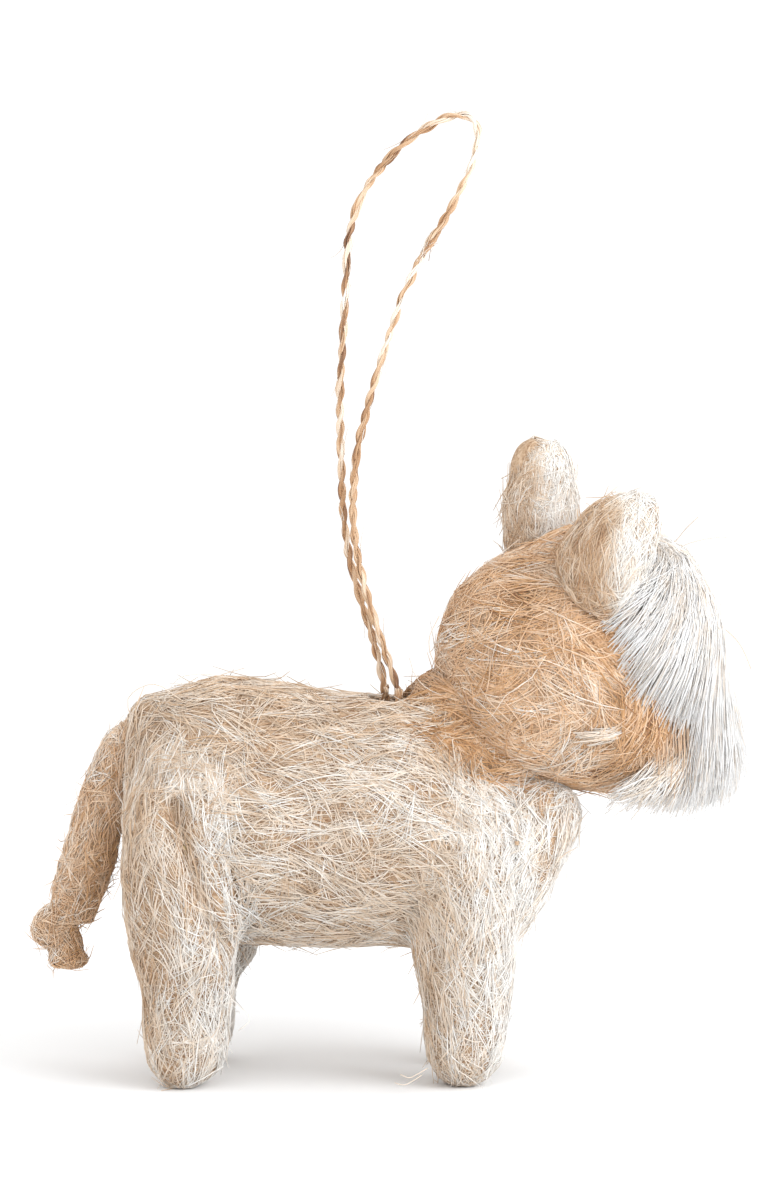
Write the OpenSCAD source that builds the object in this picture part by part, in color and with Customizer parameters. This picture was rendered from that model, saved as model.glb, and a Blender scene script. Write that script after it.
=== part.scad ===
// Hanging fibre goat: a four-legged animal ornament about 12 cm long.
// A pressed straw core on bent steel wires is covered with mats of matted plant fibre.
// The head is turned to the animal's left and wears a forelock, a face fringe and a beard.
// A loop of two-ply twine is tied round the spine wire in a hole in the back.
// +X points to the head, +Y to the animal's left and +Z up. The feet stand on Z = 0.
// Every sub-part is drawn about the middle of the trunk, and in_frame() moves it so that
// the origin lies under the middle of the whole ornament.

/* [Body] */
// Thickness of the fibre coat on the trunk
coat_t = 3; // [2.6:0.2:3.2]
// Number of flats round the trunk
body_sides = 20; // [16:4:24]
// Film of glue between neighbouring mats
glue_gap = 0.3; // [0.2:0.05:0.35]

/* [Legs] */
// Forward place of the hind legs
hind_x = -34.5; // [-35:0.5:-33.5]
// Forward place of the front legs
front_x = 12.4; // [12:0.5:13.5]
// Sideways place of the hind legs from the middle
hind_y = 13; // [12.5:0.5:13.5]
// Sideways place of the front legs from the middle
front_y = 11.5; // [11.5:0.5:12]
// Thickness of the fibre coat on the legs
leg_coat_t = 2.6; // [2.2:0.2:3]

/* [Head] */
// Turn of the head to the animal's left, in degrees
head_yaw = 32; // [28:1:36]
// Lean of the head that lifts its left side, in degrees
head_roll = 9; // [6:1:12]
// Radius of the skull
skull_r = 19.8; // [19.4:0.1:20.1]
// Radius of the muzzle
muzzle_r = 11.5; // [11:0.5:12]
// Thickness of the fibre coat on the head
head_coat_t = 3; // [2.5:0.5:3.5]

/* [Tail] */
// Lean of the tail away from upright, in degrees
tail_lean = 17; // [15:1:18]
// Radius of the knot at the tail's end
knot_r = 3.9; // [3.7:0.1:4.1]
// How far the tail can be bent up, in degrees
tail_lift = 25; // [15:5:30]

/* [Wires and twine] */
// Diameter of the spine wire
spine_d = 1.6; // [1.4:0.1:1.8]
// Diameter of the leg wires
leg_wire_d = 1.4; // [1.2:0.1:1.5]
// Diameter of the tail wire
tail_wire_d = 1; // [0.8:0.1:1.2]
// Diameter of the twine
twine_d = 1.7; // [1.6:0.1:1.8]
// Running clearance of the hitch on the spine wire
hitch_play = 0.05; // [0.03:0.01:0.08]
// Diameter of the hole in the back
hole_d = 7.6; // [7.4:0.1:8]

/* [Hidden] */

// From the middle of the trunk to the middle of the whole ornament
middle = [-0.75, 5.1, 0];

straw = [0.80, 0.66, 0.42];
fibre = [0.84, 0.70, 0.52];
pale_fibre = [0.95, 0.92, 0.87];
steel = [0.55, 0.55, 0.56];
thread = [0.62, 0.50, 0.34];
twine = [0.66, 0.48, 0.32];
round_fn = 48;
// Larger than any size of the ornament
far = 200;
// How far an inset may go: the most of a section's half width, and the least radius left
most_inset = 0.7;
least_r = 1;

// Trunk sections from rump to chest: [x, top, bottom, half width]
body_rings = [
    [-45, 54.5, 37, 7], [-44, 58.5, 31, 12], [-41.5, 63, 27, 16.5], [-36, 66.5, 24, 20],
    [-29, 68.5, 22.5, 21.5], [-20, 67.5, 22, 22], [-9, 65.7, 22, 21.5], [2, 65, 22, 21],
    [8, 61, 21.5, 20.5], [14, 55.5, 20.5, 19.5], [20, 51.5, 21, 17.5], [26, 49, 29, 13.5],
    [30, 47.5, 37, 8], [32, 45.5, 41, 3]
];
binding_w = 4;
binding_t = 0.8;
binding_front_x = -7;
binding_hind_x = -23;

// Leg sections from the sole up: [height, radius]
hind_rings = [
    [0, 3.4], [1.2, 5], [3.5, 6.5], [8, 7.2], [14, 7.6], [20, 8.6], [25, 9.8], [31, 10.8], [38, 11.3],
    [45, 10.8], [51, 8.5], [55, 4]
];
front_rings = [
    [0, 3.2], [1.2, 4.8], [3.5, 6.3], [8, 7.1], [14, 7.6], [20, 8.4], [25, 9], [31, 9.8], [38, 10],
    [44, 8.5], [48, 5]
];
leg_sides = 16;
leg_core_low = 3;
leg_core_high = 45;

// Head frame: +X out of the face, +Y to its left, +Z up from the middle of the skull
head_at = [27.3, 4, 70.6];
muzzle_at = [15, 0, -12.5];
skull_sides = 22;
neck_from = [2, 0, 51];
neck_to = [22, 3, 63.5];
neck_r = 13;

// Ear sections from root to tip: [height, radius]
right_ear_rings = [[0, 6.5], [5, 8.2], [10, 8.6], [15, 7.6], [19, 5.2], [21, 2.6]];
left_ear_rings = [[0, 6], [6, 6.9], [12, 6.9], [17, 6.2], [20.5, 4.8], [22.5, 2.4]];
ear_wall = 2;
ear_wall_part = 0.6;
ear_span = 230;
ear_steps = 14;
right_ear_at = [-0.5, -11, 12.2];
right_ear_turn = [8, 24, -25];
left_ear_at = [4.5, 12, 13.5];
left_ear_turn = [-4, -2, 20];

// Hair sections round the upright axis of the fringe: [radius, height], outside and inside
hair_x = 8;
forelock_out = [[6, 22.5], [12, 21.5], [16, 19.5], [20, 14.5], [22.5, 10], [24.5, 4], [25.5, -3]];
forelock_in = [[4, 18.5], [8, 17], [11, 14.5], [14, 11], [16.5, 7], [18.5, 3], [20, -3]];
fringe_out = [[18.3, 1.5], [19.4, -3.3], [25.7, -3.4], [27.5, -8]];
fringe_in = [[14, 1.5], [14.5, -3.3], [16, -5], [17.5, -8]];
beard_out = [[27.7, -8.3], [29, -12.5], [29.8, -17.5], [27, -21.5], [20, -24]];
beard_in = [[17.5, -8.3], [17, -12.5], [16, -17.5], [16, -20.5], [17, -23]];
forelock_span = 180;
fringe_span = 160;
beard_span = 160;
forelock_squeeze = 0.85;
fringe_squeeze = 0.8;
beard_squeeze = 0.72;
hair_step = 10;

// Lock of fibre laid along the right side of the mouth
mouth_from = [-1.5, -19, -7];
mouth_to = [5, -18.6, -5.8];
mouth_r = 1.6;

// Tail: its frame hangs from the hinge, with -Z along the tail
tail_root = [-45, 0, 59.5];
tail_tuck = 3;
tail_rings = [
    [-2.5, 1.5], [-1, 2.2], [1, 2.8], [4, 3.5], [8, 4], [14, 4.3], [22, 4.3], [28, 4.2],
    [34, 3.6]
];
tail_sides = 16;
tail_gap = 0.6;
tail_coat_t = 1.8;
tail_core_low = 1;
tail_core_high = 30;
tail_wire_low = 3;
tail_wire_high = 27;
knot_at = [-2, 0, -36.6];
tuft_at = [0.2, 0, -37];
tuft_lean = -20;
tuft_l = 5.6;
tuft_r = 3.5;
tuft_root_r = 2.4;

// Wires
wire_play = 0.1;
spine_z = 60.7;
spine_back = -38;
spine_front = 24;
wire_bend = 5;
hind_arch_z = 54.5;
front_arch_z = 46.5;
leg_wire_low = 6;

// Hanger: the hinge line of the loop is just above the hole
hitch_l = 3.6;
hitch_r = 2.3;
hitch_edge = 0.5;
hole_low = 57.2;
hole_high = 72.7;

// Route of the twine from one end in the hole, over the top and back
twine_route = [
    [-1.2, 0.3, 65.3], [-1.6, 0.5, 68], [-3.2, 0.8, 74.5], [-5.2, 1, 81], [-7.1, 1.1, 88],
    [-8.2, 1.1, 96], [-8.6, 1.1, 105], [-8.8, 1.2, 115], [-8.3, 1.3, 125], [-7.8, 1.4, 134],
    [-7.2, 1.5, 143], [-4.9, 1.4, 149.8], [-1.4, 1.2, 154.9], [2.8, 0.9, 159], [7.4, 0.5, 161.9],
    [11.4, 0.1, 163.2], [14, -0.3, 162], [14.4, -0.7, 158.4], [13, -1, 153.6],
    [10.4, -1.2, 148.4], [8, -1.3, 144.2], [5.4, -1.4, 140], [2.4, -1.4, 134],
    [0.2, -1.4, 128], [-2.4, -1.3, 120], [-4.6, -1.2, 112], [-6.1, -1.1, 105], [-6.6, -1, 97],
    [-5.9, -0.9, 89], [-4.2, -0.8, 82], [-2.2, -0.6, 75.5], [0, -0.4, 69], [1.2, -0.3, 65.3]
];
twine_sides = 8;

module in_frame() {
    translate(-middle) children();
}

module in_head() {
    translate(head_at) rotate([0, 0, head_yaw]) rotate([head_roll, 0, 0]) children();
}

module in_tail(lift) {
    translate(tail_root) rotate([0, tail_lean + lift, 0]) children();
}

module at_leg(x, y) {
    translate([x, y, 0]) children();
}

// Each face that has four corners becomes two triangles
function cut(faces) = [
    for (f = faces)
        each (len(f) == 4 ? [[f[0], f[1], f[2]], [f[0], f[2], f[3]]] : [f])
];

// Walls of a stack of rings with n points each
function wall_faces(rows, n) = [
    for (r = [0:rows - 2], k = [0:n - 1])
        [r * n + k, (r + 1) * n + k, (r + 1) * n + (k + 1) % n, r * n + (k + 1) % n]
];

// Flat ends of a stack of full rings
function disc_ends(rows, n) = [
    [for (k = [0:n - 1]) k],
    [for (k = [n - 1:-1:0]) (rows - 1) * n + k]
];

// Ends of a stack of rings whose first half faces its second half
function strip_ends(rows, n) = [
    for (k = [0:n / 2 - 2])
        each [
            [k, k + 1, n - 2 - k, n - 1 - k],
            [for (i = [n - 1 - k, n - 2 - k, k + 1, k]) (rows - 1) * n + i]
        ]
];

// Solid through the trunk's sections, pulled in by inset
module body_shape(inset) {
    n = body_sides;
    last = len(body_rings) - 1;
    points = [
        for (i = [0:last], k = [0:n - 1])
            let (
                s = body_rings[i],
                half = (s[1] - s[2]) / 2,
                in = min(inset, most_inset * min(half, s[3])),
                shift = i == 0 ? inset : i == last ? -inset : 0,
                a = 360 * k / n
            )
            [s[0] + shift, cos(a) * (s[3] - in), (s[1] + s[2]) / 2 + sin(a) * (half - in)]
    ];
    polyhedron(points, cut(concat(wall_faces(last + 1, n), disc_ends(last + 1, n))));
}

// Solid of round sections along Z, pulled in by inset and kept between two heights
module turned(rings, sides, inset = 0, low = -far, high = far) {
    kept = [for (s = rings) if (s[0] >= low && s[0] <= high) s];
    rows = len(kept);
    points = [
        for (s = kept, k = [0:sides - 1])
            let (r = max(s[1] - inset, least_r), a = 360 * k / sides)
            [cos(a) * r, sin(a) * r, s[0]]
    ];
    polyhedron(points, cut(concat(wall_faces(rows, sides), disc_ends(rows, sides))));
}

// Skull and muzzle as one smooth ball, grown by extra
module head_shape(extra) {
    in_head() hull() {
        sphere(skull_r + extra, $fn = skull_sides);
        translate(muzzle_at) sphere(muzzle_r + extra, $fn = skull_sides);
    }
}

module tail_shape(inset = 0, low = -far, high = far) {
    mirror([0, 0, 1]) turned(tail_rings, tail_sides, inset, low, high);
}

module spine_rod(extra) {
    translate([spine_back - extra, 0, spine_z]) rotate([0, 90, 0])
        cylinder(h = spine_front - spine_back + 2 * extra, d = spine_d + 2 * extra, $fn = round_fn);
}

// One wire bent into an arch: up a leg, across the trunk and down the other leg
module arch_wire(x, y, top, extra) {
    d = leg_wire_d + 2 * extra;
    low = leg_wire_low - extra;
    for (side = [-1, 1]) {
        translate([x, side * y, low])
            cylinder(h = top - wire_bend - low, d = d, $fn = round_fn);
        translate([x, side * (y - wire_bend), top - wire_bend])
            rotate([90, 0, 90 * side]) rotate_extrude(angle = 90, $fn = round_fn)
                translate([wire_bend, 0]) circle(d = d, $fn = round_fn);
    }
    translate([x, wire_bend - y, top]) rotate([-90, 0, 0])
        cylinder(h = 2 * (y - wire_bend), d = d, $fn = round_fn);
}

module back_hole() {
    translate([0, 0, hole_low]) cylinder(h = hole_high - hole_low, d = hole_d, $fn = round_fn);
}

// What the four legs take out of the trunk
module leg_room() {
    for (side = [-1, 1]) {
        at_leg(hind_x, side * hind_y) turned(hind_rings, leg_sides, -glue_gap);
        at_leg(front_x, side * front_y) turned(front_rings, leg_sides, -glue_gap);
    }
}

// What the tail takes out of the trunk over its whole travel
module tail_room() {
    for (lift = [-tail_tuck, tail_lift / 2, tail_lift])
        in_tail(lift) tail_shape(-tail_gap);
}

// The slice of space that a binding fills, from x forwards
module binding_slice(x) {
    translate([x, -far / 2, 0]) cube([binding_w, far, far]);
}

// A band of thread wound round the core, level with its surface
module binding(x) {
    in_frame() color(thread) intersection() {
        difference() {
            body_shape(coat_t);
            body_shape(coat_t + binding_t);
            leg_room();
        }
        binding_slice(x);
    }
}

module core_binding_front() {
    binding(binding_front_x);
}

module core_binding_hind() {
    binding(binding_hind_x);
}

module body_core() {
    in_frame() color(straw) difference() {
        body_shape(coat_t);
        for (x = [binding_front_x, binding_hind_x])
            difference() {
                binding_slice(x);
                body_shape(coat_t + binding_t);
            }
        leg_room();
        tail_room();
        head_shape(glue_gap);
        back_hole();
        spine_rod(wire_play);
        arch_wire(hind_x, hind_y, hind_arch_z, wire_play);
        arch_wire(front_x, front_y, front_arch_z, wire_play);
    }
}

module body_coat() {
    in_frame() color(fibre) difference() {
        body_shape(0);
        body_shape(coat_t);
        leg_room();
        tail_room();
        head_shape(glue_gap);
        back_hole();
        spine_rod(wire_play);
    }
}

module spine_wire() {
    in_frame() color(steel) spine_rod(0);
}

module front_leg_wire() {
    in_frame() color(steel) arch_wire(front_x, front_y, front_arch_z, 0);
}

module hind_leg_wire() {
    in_frame() color(steel) arch_wire(hind_x, hind_y, hind_arch_z, 0);
}

module hind_leg_core(side) {
    in_frame() color(straw) difference() {
        at_leg(hind_x, side * hind_y)
            turned(hind_rings, leg_sides, leg_coat_t, leg_core_low, leg_core_high);
        arch_wire(hind_x, hind_y, hind_arch_z, wire_play);
    }
}

module front_leg_core(side) {
    in_frame() color(straw) difference() {
        at_leg(front_x, side * front_y)
            turned(front_rings, leg_sides, leg_coat_t, leg_core_low, leg_core_high);
        arch_wire(front_x, front_y, front_arch_z, wire_play);
    }
}

module hind_leg_coat(side) {
    in_frame() color(fibre) difference() {
        at_leg(hind_x, side * hind_y) difference() {
            turned(hind_rings, leg_sides);
            turned(hind_rings, leg_sides, leg_coat_t, leg_core_low, leg_core_high);
        }
        arch_wire(hind_x, hind_y, hind_arch_z, wire_play);
    }
}

module front_leg_coat(side) {
    in_frame() color(fibre) difference() {
        at_leg(front_x, side * front_y) difference() {
            turned(front_rings, leg_sides);
            turned(front_rings, leg_sides, leg_coat_t, leg_core_low, leg_core_high);
        }
        arch_wire(front_x, front_y, front_arch_z, wire_play);
    }
}

module right_front_leg_core() {
    front_leg_core(-1);
}

module left_front_leg_core() {
    front_leg_core(1);
}

module right_hind_leg_core() {
    hind_leg_core(-1);
}

module left_hind_leg_core() {
    hind_leg_core(1);
}

module right_front_leg_coat() {
    front_leg_coat(-1);
}

module left_front_leg_coat() {
    front_leg_coat(1);
}

module right_hind_leg_coat() {
    hind_leg_coat(-1);
}

module left_hind_leg_coat() {
    hind_leg_coat(1);
}

module neck_wrap() {
    in_frame() color(fibre) difference() {
        hull() {
            translate(neck_from) sphere(neck_r, $fn = leg_sides);
            translate(neck_to) sphere(neck_r, $fn = leg_sides);
        }
        body_shape(-glue_gap);
        head_shape(glue_gap);
        back_hole();
        spine_rod(wire_play);
    }
}

module head_core() {
    in_frame() color(straw) difference() {
        head_shape(-head_coat_t);
        spine_rod(wire_play);
    }
}

module head_coat() {
    in_frame() color(fibre) difference() {
        head_shape(0);
        head_shape(-head_coat_t);
        spine_rod(wire_play);
    }
}

// Points of one ear section: the back of the cup, then its hollow side
function ear_ring(z, r, wall) = [
    for (i = [0:ear_steps]) let (a = 180 - ear_span / 2 + ear_span * i / ear_steps)
        [cos(a) * r, sin(a) * r, z],
    for (i = [ear_steps:-1:0]) let (a = 180 - ear_span / 2 + ear_span * i / ear_steps)
        [cos(a) * (r - wall), sin(a) * (r - wall), z]
];

// A cupped ear open towards +X
module ear(rings) {
    rows = len(rings);
    n = 2 * (ear_steps + 1);
    points = [for (s = rings) each ear_ring(s[0], s[1], min(ear_wall, ear_wall_part * s[1]))];
    polyhedron(points, cut(concat(wall_faces(rows, n), strip_ends(rows, n))));
}

module at_right_ear() {
    in_head() translate(right_ear_at) rotate([0, 0, right_ear_turn[2]])
        rotate([right_ear_turn[0], right_ear_turn[1], 0]) children();
}

module at_left_ear() {
    in_head() translate(left_ear_at) rotate([0, 0, left_ear_turn[2]])
        rotate([left_ear_turn[0], left_ear_turn[1], 0]) children();
}

module right_ear() {
    in_frame() color(pale_fibre) difference() {
        at_right_ear() ear(right_ear_rings);
        head_shape(glue_gap);
    }
}

module left_ear() {
    in_frame() color(pale_fibre) difference() {
        at_left_ear() ear(left_ear_rings);
        head_shape(glue_gap);
    }
}

// What the two ears take out of the hair between them
module ear_room() {
    at_right_ear() turned(right_ear_rings, leg_sides, -glue_gap);
    at_left_ear() turned(left_ear_rings, leg_sides, -glue_gap);
}

// A curtain of hair swept round the face from one side to the other
module hair(out, in, span, squeeze) {
    steps = ceil(span / hair_step);
    n = 2 * len(out);
    section = concat(out, [for (i = [len(in) - 1:-1:0]) in[i]]);
    points = [
        for (j = [0:steps], s = section)
            let (a = span * (j / steps - 0.5))
            [hair_x + s[0] * cos(a), squeeze * s[0] * sin(a), s[1]]
    ];
    in_head() polyhedron(points, cut(concat(wall_faces(steps + 1, n), strip_ends(steps + 1, n))));
}

module forelock() {
    in_frame() color(pale_fibre) difference() {
        hair(forelock_out, forelock_in, forelock_span, forelock_squeeze);
        head_shape(glue_gap);
        ear_room();
    }
}

module face_fringe() {
    in_frame() color(pale_fibre) difference() {
        hair(fringe_out, fringe_in, fringe_span, fringe_squeeze);
        head_shape(glue_gap);
    }
}

module beard() {
    in_frame() color(pale_fibre) difference() {
        hair(beard_out, beard_in, beard_span, beard_squeeze);
        head_shape(glue_gap);
    }
}

module mouth_lock() {
    in_frame() color(pale_fibre) difference() {
        in_head() hull() {
            translate(mouth_from) sphere(mouth_r, $fn = leg_sides);
            translate(mouth_to) sphere(mouth_r, $fn = leg_sides);
        }
        head_shape(glue_gap);
    }
}

module tail_rod(extra) {
    translate([0, 0, -tail_wire_high - extra])
        cylinder(h = tail_wire_high - tail_wire_low + 2 * extra,
            d = tail_wire_d + 2 * extra, $fn = round_fn);
}

module tail_wire() {
    in_frame() color(steel) in_tail(0) tail_rod(0);
}

module tail_core() {
    in_frame() color(straw) in_tail(0) difference() {
        tail_shape(tail_coat_t, tail_core_low, tail_core_high);
        tail_rod(wire_play);
    }
}

module tail_coat() {
    in_frame() color(fibre) in_tail(0) difference() {
        tail_shape();
        tail_shape(tail_coat_t, tail_core_low, tail_core_high);
        translate(knot_at) sphere(knot_r + glue_gap, $fn = round_fn);
    }
}

module tail_knot() {
    in_frame() color(fibre) in_tail(0) translate(knot_at) sphere(knot_r, $fn = round_fn);
}

module tail_tuft() {
    in_frame() color(fibre) in_tail(0) difference() {
        translate(tuft_at) rotate([180, tuft_lean, 0])
            cylinder(h = tuft_l, r1 = tuft_root_r, r2 = tuft_r, $fn = round_fn);
        translate(knot_at) sphere(knot_r + glue_gap, $fn = round_fn);
        tail_shape(-glue_gap);
    }
}

// Two turns of twine round the spine wire, as one short sleeve with eased edges
module hanger_hitch() {
    in_frame() color(twine) translate([0, 0, spine_z]) rotate([0, 90, 0])
        rotate_extrude($fn = round_fn) polygon([
            [spine_d / 2 + hitch_play, -hitch_l / 2],
            [hitch_r - hitch_edge, -hitch_l / 2],
            [hitch_r, hitch_edge - hitch_l / 2],
            [hitch_r, hitch_l / 2 - hitch_edge],
            [hitch_r - hitch_edge, hitch_l / 2],
            [spine_d / 2 + hitch_play, hitch_l / 2]
        ]);
}

function unit(v) = v / norm(v);

// Direction of the route at point i
function heading(i) = unit(
    twine_route[min(i + 1, len(twine_route) - 1)] - twine_route[max(i - 1, 0)]
);

// The free loop of twine, swept along its route
module hanger_loop() {
    rows = len(twine_route);
    side = [0, 1, 0];
    points = [
        for (i = [0:rows - 1], k = [0:twine_sides - 1])
            let (
                along = heading(i),
                across = unit(cross(along, side)),
                level = cross(along, across),
                a = 360 * k / twine_sides
            )
            twine_route[i] + twine_d / 2 * (cos(a) * across + sin(a) * level)
    ];
    in_frame() color(twine)
        polyhedron(points, cut(concat(wall_faces(rows, twine_sides), disc_ends(rows, twine_sides))));
}

body_core();
core_binding_front();
core_binding_hind();
body_coat();
spine_wire();
front_leg_wire();
hind_leg_wire();
right_front_leg_core();
left_front_leg_core();
right_hind_leg_core();
left_hind_leg_core();
right_front_leg_coat();
left_front_leg_coat();
right_hind_leg_coat();
left_hind_leg_coat();
neck_wrap();
head_core();
head_coat();
right_ear();
left_ear();
forelock();
face_fringe();
beard();
mouth_lock();
tail_wire();
tail_core();
tail_coat();
tail_knot();
tail_tuft();
hanger_hitch();
hanger_loop();
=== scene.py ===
import math

import bmesh
import bpy
import numpy as np
from mathutils import Matrix, Vector, noise
from mathutils.bvhtree import BVHTree


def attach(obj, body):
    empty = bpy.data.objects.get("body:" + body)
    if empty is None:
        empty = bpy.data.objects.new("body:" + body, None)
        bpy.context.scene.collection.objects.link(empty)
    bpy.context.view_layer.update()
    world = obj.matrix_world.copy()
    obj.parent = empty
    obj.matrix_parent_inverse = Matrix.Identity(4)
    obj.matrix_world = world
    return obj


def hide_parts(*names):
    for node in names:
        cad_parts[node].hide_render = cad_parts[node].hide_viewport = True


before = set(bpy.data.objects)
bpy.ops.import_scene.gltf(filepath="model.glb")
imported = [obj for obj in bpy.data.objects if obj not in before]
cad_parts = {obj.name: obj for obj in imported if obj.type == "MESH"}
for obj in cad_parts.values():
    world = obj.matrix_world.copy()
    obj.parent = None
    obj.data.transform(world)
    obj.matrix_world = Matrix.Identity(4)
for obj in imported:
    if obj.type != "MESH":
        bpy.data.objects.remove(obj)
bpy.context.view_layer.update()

MM = 0.001

# From the middle of the ornament to the middle of the trunk, as the CAD has it
TRUNK = np.array((0.75, -5.1, 0.0)) * MM

# Head frame: +X out of the face, +Y to its left
HEAD_AT = TRUNK + np.array((27.3, 4, 70.6)) * MM
HEAD_YAW = math.radians(32)
HEAD_ROLL = math.radians(9)
HEAD_TURN = np.array(Matrix.Rotation(HEAD_YAW, 3, "Z") @ Matrix.Rotation(HEAD_ROLL, 3, "X"))
SKULL_R = 19.8 * MM

# Tail frame: hangs from its hinge, -Z along the tail
TAIL_AT = TRUNK + np.array((-45, 0, 59.5)) * MM
TAIL_LEAN = math.radians(17)
TAIL_TURN = np.array(Matrix.Rotation(TAIL_LEAN, 3, "Y"))

# Radius of one fibre of the coats
FIBRE_R = 0.09 * MM


# ---------------------------------------------------------------- camera

def make_camera():
    """Level side view from the animal's right, a little above its back."""
    aim = TRUNK + np.array((-0.3, 0, 81.5)) * MM
    away = 750 * MM
    rise = math.radians(4)
    picture_high = 203.3 * MM
    sensor = 36.0
    data = bpy.data.cameras.new("camera")
    data.sensor_fit = "VERTICAL"
    data.sensor_height = sensor
    data.lens = sensor * away / picture_high
    data.clip_start = 0.01
    camera = bpy.data.objects.new("camera", data)
    camera.location = aim + away * np.array((0, -math.cos(rise), math.sin(rise)))
    camera.rotation_euler = (math.pi / 2 - rise, 0, 0)
    bpy.context.scene.collection.objects.link(camera)
    bpy.context.scene.camera = camera


# ---------------------------------------------------------------- materials

def new_material(name):
    """A node material, with its nodes, links and main shader."""
    material = bpy.data.materials.new(name)
    material.use_nodes = True
    nodes = material.node_tree.nodes
    shader = next(n for n in nodes if n.type == "BSDF_PRINCIPLED")
    return material, nodes, material.node_tree.links, shader


def ramp(nodes, stops):
    """Colour ramp with (position, colour) stops."""
    node = nodes.new("ShaderNodeValToRGB")
    elements = node.color_ramp.elements
    while len(elements) < len(stops):
        elements.new(0.5)
    for element, (at, colour) in zip(elements, stops):
        element.position = at
        element.color = (*colour, 1)
    return node


# From the darkest fibre to the most bleached one
FIBRE_COLOURS = ((0.0, (0.20, 0.09, 0.04)), (0.25, (0.46, 0.26, 0.13)), (0.5, (0.65, 0.46, 0.30)),
                 (0.75, (0.78, 0.66, 0.54)), (1.0, (0.87, 0.84, 0.80)))

# The head's and the tail's fibre is yellower
WARM_COLOURS = ((0.0, (0.24, 0.09, 0.03)), (0.25, (0.53, 0.28, 0.11)), (0.5, (0.73, 0.465, 0.27)),
                (0.75, (0.83, 0.64, 0.47)), (1.0, (0.88, 0.84, 0.79)))


def fibre_material(name, stops=FIBRE_COLOURS, rough=0.45):
    """Single fibres: each has its own tone, with slow changes along it."""
    material, nodes, links, shader = new_material(name)
    tone = nodes.new("ShaderNodeAttribute")
    tone.attribute_name = "tone"
    where = nodes.new("ShaderNodeTexCoord")
    cloud = nodes.new("ShaderNodeTexNoise")
    cloud.inputs["Scale"].default_value = 260
    cloud.inputs["Detail"].default_value = 2
    shift = nodes.new("ShaderNodeMath")
    shift.operation = "MULTIPLY_ADD"
    shift.inputs[1].default_value = 0.3
    shift.inputs[2].default_value = -0.15
    total = nodes.new("ShaderNodeMath")
    total.operation = "ADD"
    total.use_clamp = True
    colours = ramp(nodes, stops)
    links.new(where.outputs["Object"], cloud.inputs["Vector"])
    links.new(cloud.outputs["Fac"], shift.inputs[0])
    links.new(tone.outputs["Fac"], total.inputs[0])
    links.new(shift.outputs[0], total.inputs[1])
    links.new(total.outputs[0], colours.inputs["Fac"])
    links.new(colours.outputs["Color"], shader.inputs["Base Color"])
    shader.inputs["Roughness"].default_value = rough
    shader.inputs["Specular IOR Level"].default_value = 0.5
    shader.inputs["Sheen Weight"].default_value = 0.15
    shader.inputs["Sheen Roughness"].default_value = 0.4
    return material


def mat_material(name, dark, middle, light):
    """The packed fibre under the loose ones: fine streaks, with painted shade in the low gaps between
    them.
    """
    material, nodes, links, shader = new_material(name)
    where = nodes.new("ShaderNodeTexCoord")
    streaks = []
    for turn, stretch in ((0.4, (250, 1900, 1500)), (1.9, (1500, 1700, 300)), (2.9, (500, 1900, 2100))):
        place = nodes.new("ShaderNodeMapping")
        place.inputs["Rotation"].default_value = (turn * 0.3, turn, turn * 0.2)
        place.inputs["Scale"].default_value = stretch
        grain = nodes.new("ShaderNodeTexNoise")
        grain.inputs["Scale"].default_value = 1.0
        grain.inputs["Detail"].default_value = 3
        grain.inputs["Distortion"].default_value = 0.6
        links.new(where.outputs["Object"], place.inputs["Vector"])
        links.new(place.outputs["Vector"], grain.inputs["Vector"])
        streaks.append(grain)
    first = nodes.new("ShaderNodeMath")
    first.operation = "MAXIMUM"
    both = nodes.new("ShaderNodeMath")
    both.operation = "MAXIMUM"
    links.new(streaks[0].outputs["Fac"], first.inputs[0])
    links.new(streaks[1].outputs["Fac"], first.inputs[1])
    links.new(first.outputs[0], both.inputs[0])
    links.new(streaks[2].outputs["Fac"], both.inputs[1])
    # the low places of the streaks, which the bump sinks, are coloured darkest: painted shade
    colours = ramp(nodes, [(0.42, dark), (0.6, middle), (0.78, light)])
    bump = nodes.new("ShaderNodeBump")
    bump.inputs["Strength"].default_value = 0.8
    bump.inputs["Distance"].default_value = 0.35 * MM
    links.new(both.outputs[0], colours.inputs["Fac"])
    links.new(both.outputs[0], bump.inputs["Height"])
    links.new(colours.outputs["Color"], shader.inputs["Base Color"])
    links.new(bump.outputs["Normal"], shader.inputs["Normal"])
    shader.inputs["Roughness"].default_value = 0.75
    return material


def metal_material(name):
    """Soft grey wire with a faint grain."""
    material, nodes, links, shader = new_material(name)
    where = nodes.new("ShaderNodeTexCoord")
    grain = nodes.new("ShaderNodeTexNoise")
    grain.inputs["Scale"].default_value = 900
    colours = ramp(nodes, [(0.3, (0.42, 0.42, 0.43)), (0.8, (0.62, 0.62, 0.62))])
    links.new(where.outputs["Object"], grain.inputs["Vector"])
    links.new(grain.outputs["Fac"], colours.inputs["Fac"])
    links.new(colours.outputs["Color"], shader.inputs["Base Color"])
    shader.inputs["Metallic"].default_value = 1.0
    shader.inputs["Roughness"].default_value = 0.35
    return material


# ---------------------------------------------------------------- mesh helpers

# Widths of the broad and the fine lumps in the packing
BROAD = 9 * MM
FINE = 2.2 * MM

def link(name, mesh, material):
    """A piece of this name in the scene, of one material."""
    mesh.materials.clear()
    mesh.materials.append(material)
    piece = bpy.data.objects.new(name, mesh)
    bpy.context.scene.collection.objects.link(piece)
    return piece


def coords(mesh):
    """Places of a mesh's points, as (n, 3)."""
    out = np.empty(len(mesh.vertices) * 3)
    mesh.vertices.foreach_get("co", out)
    return out.reshape(-1, 3)


def normals(mesh):
    """Normals at a mesh's points, as (n, 3)."""
    out = np.empty(len(mesh.vertices) * 3)
    mesh.vertices.foreach_get("normal", out)
    return out.reshape(-1, 3)


def unit(v):
    """Vectors brought to length 1."""
    return v / np.maximum(np.linalg.norm(v, axis=-1, keepdims=True), 1e-12)


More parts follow.
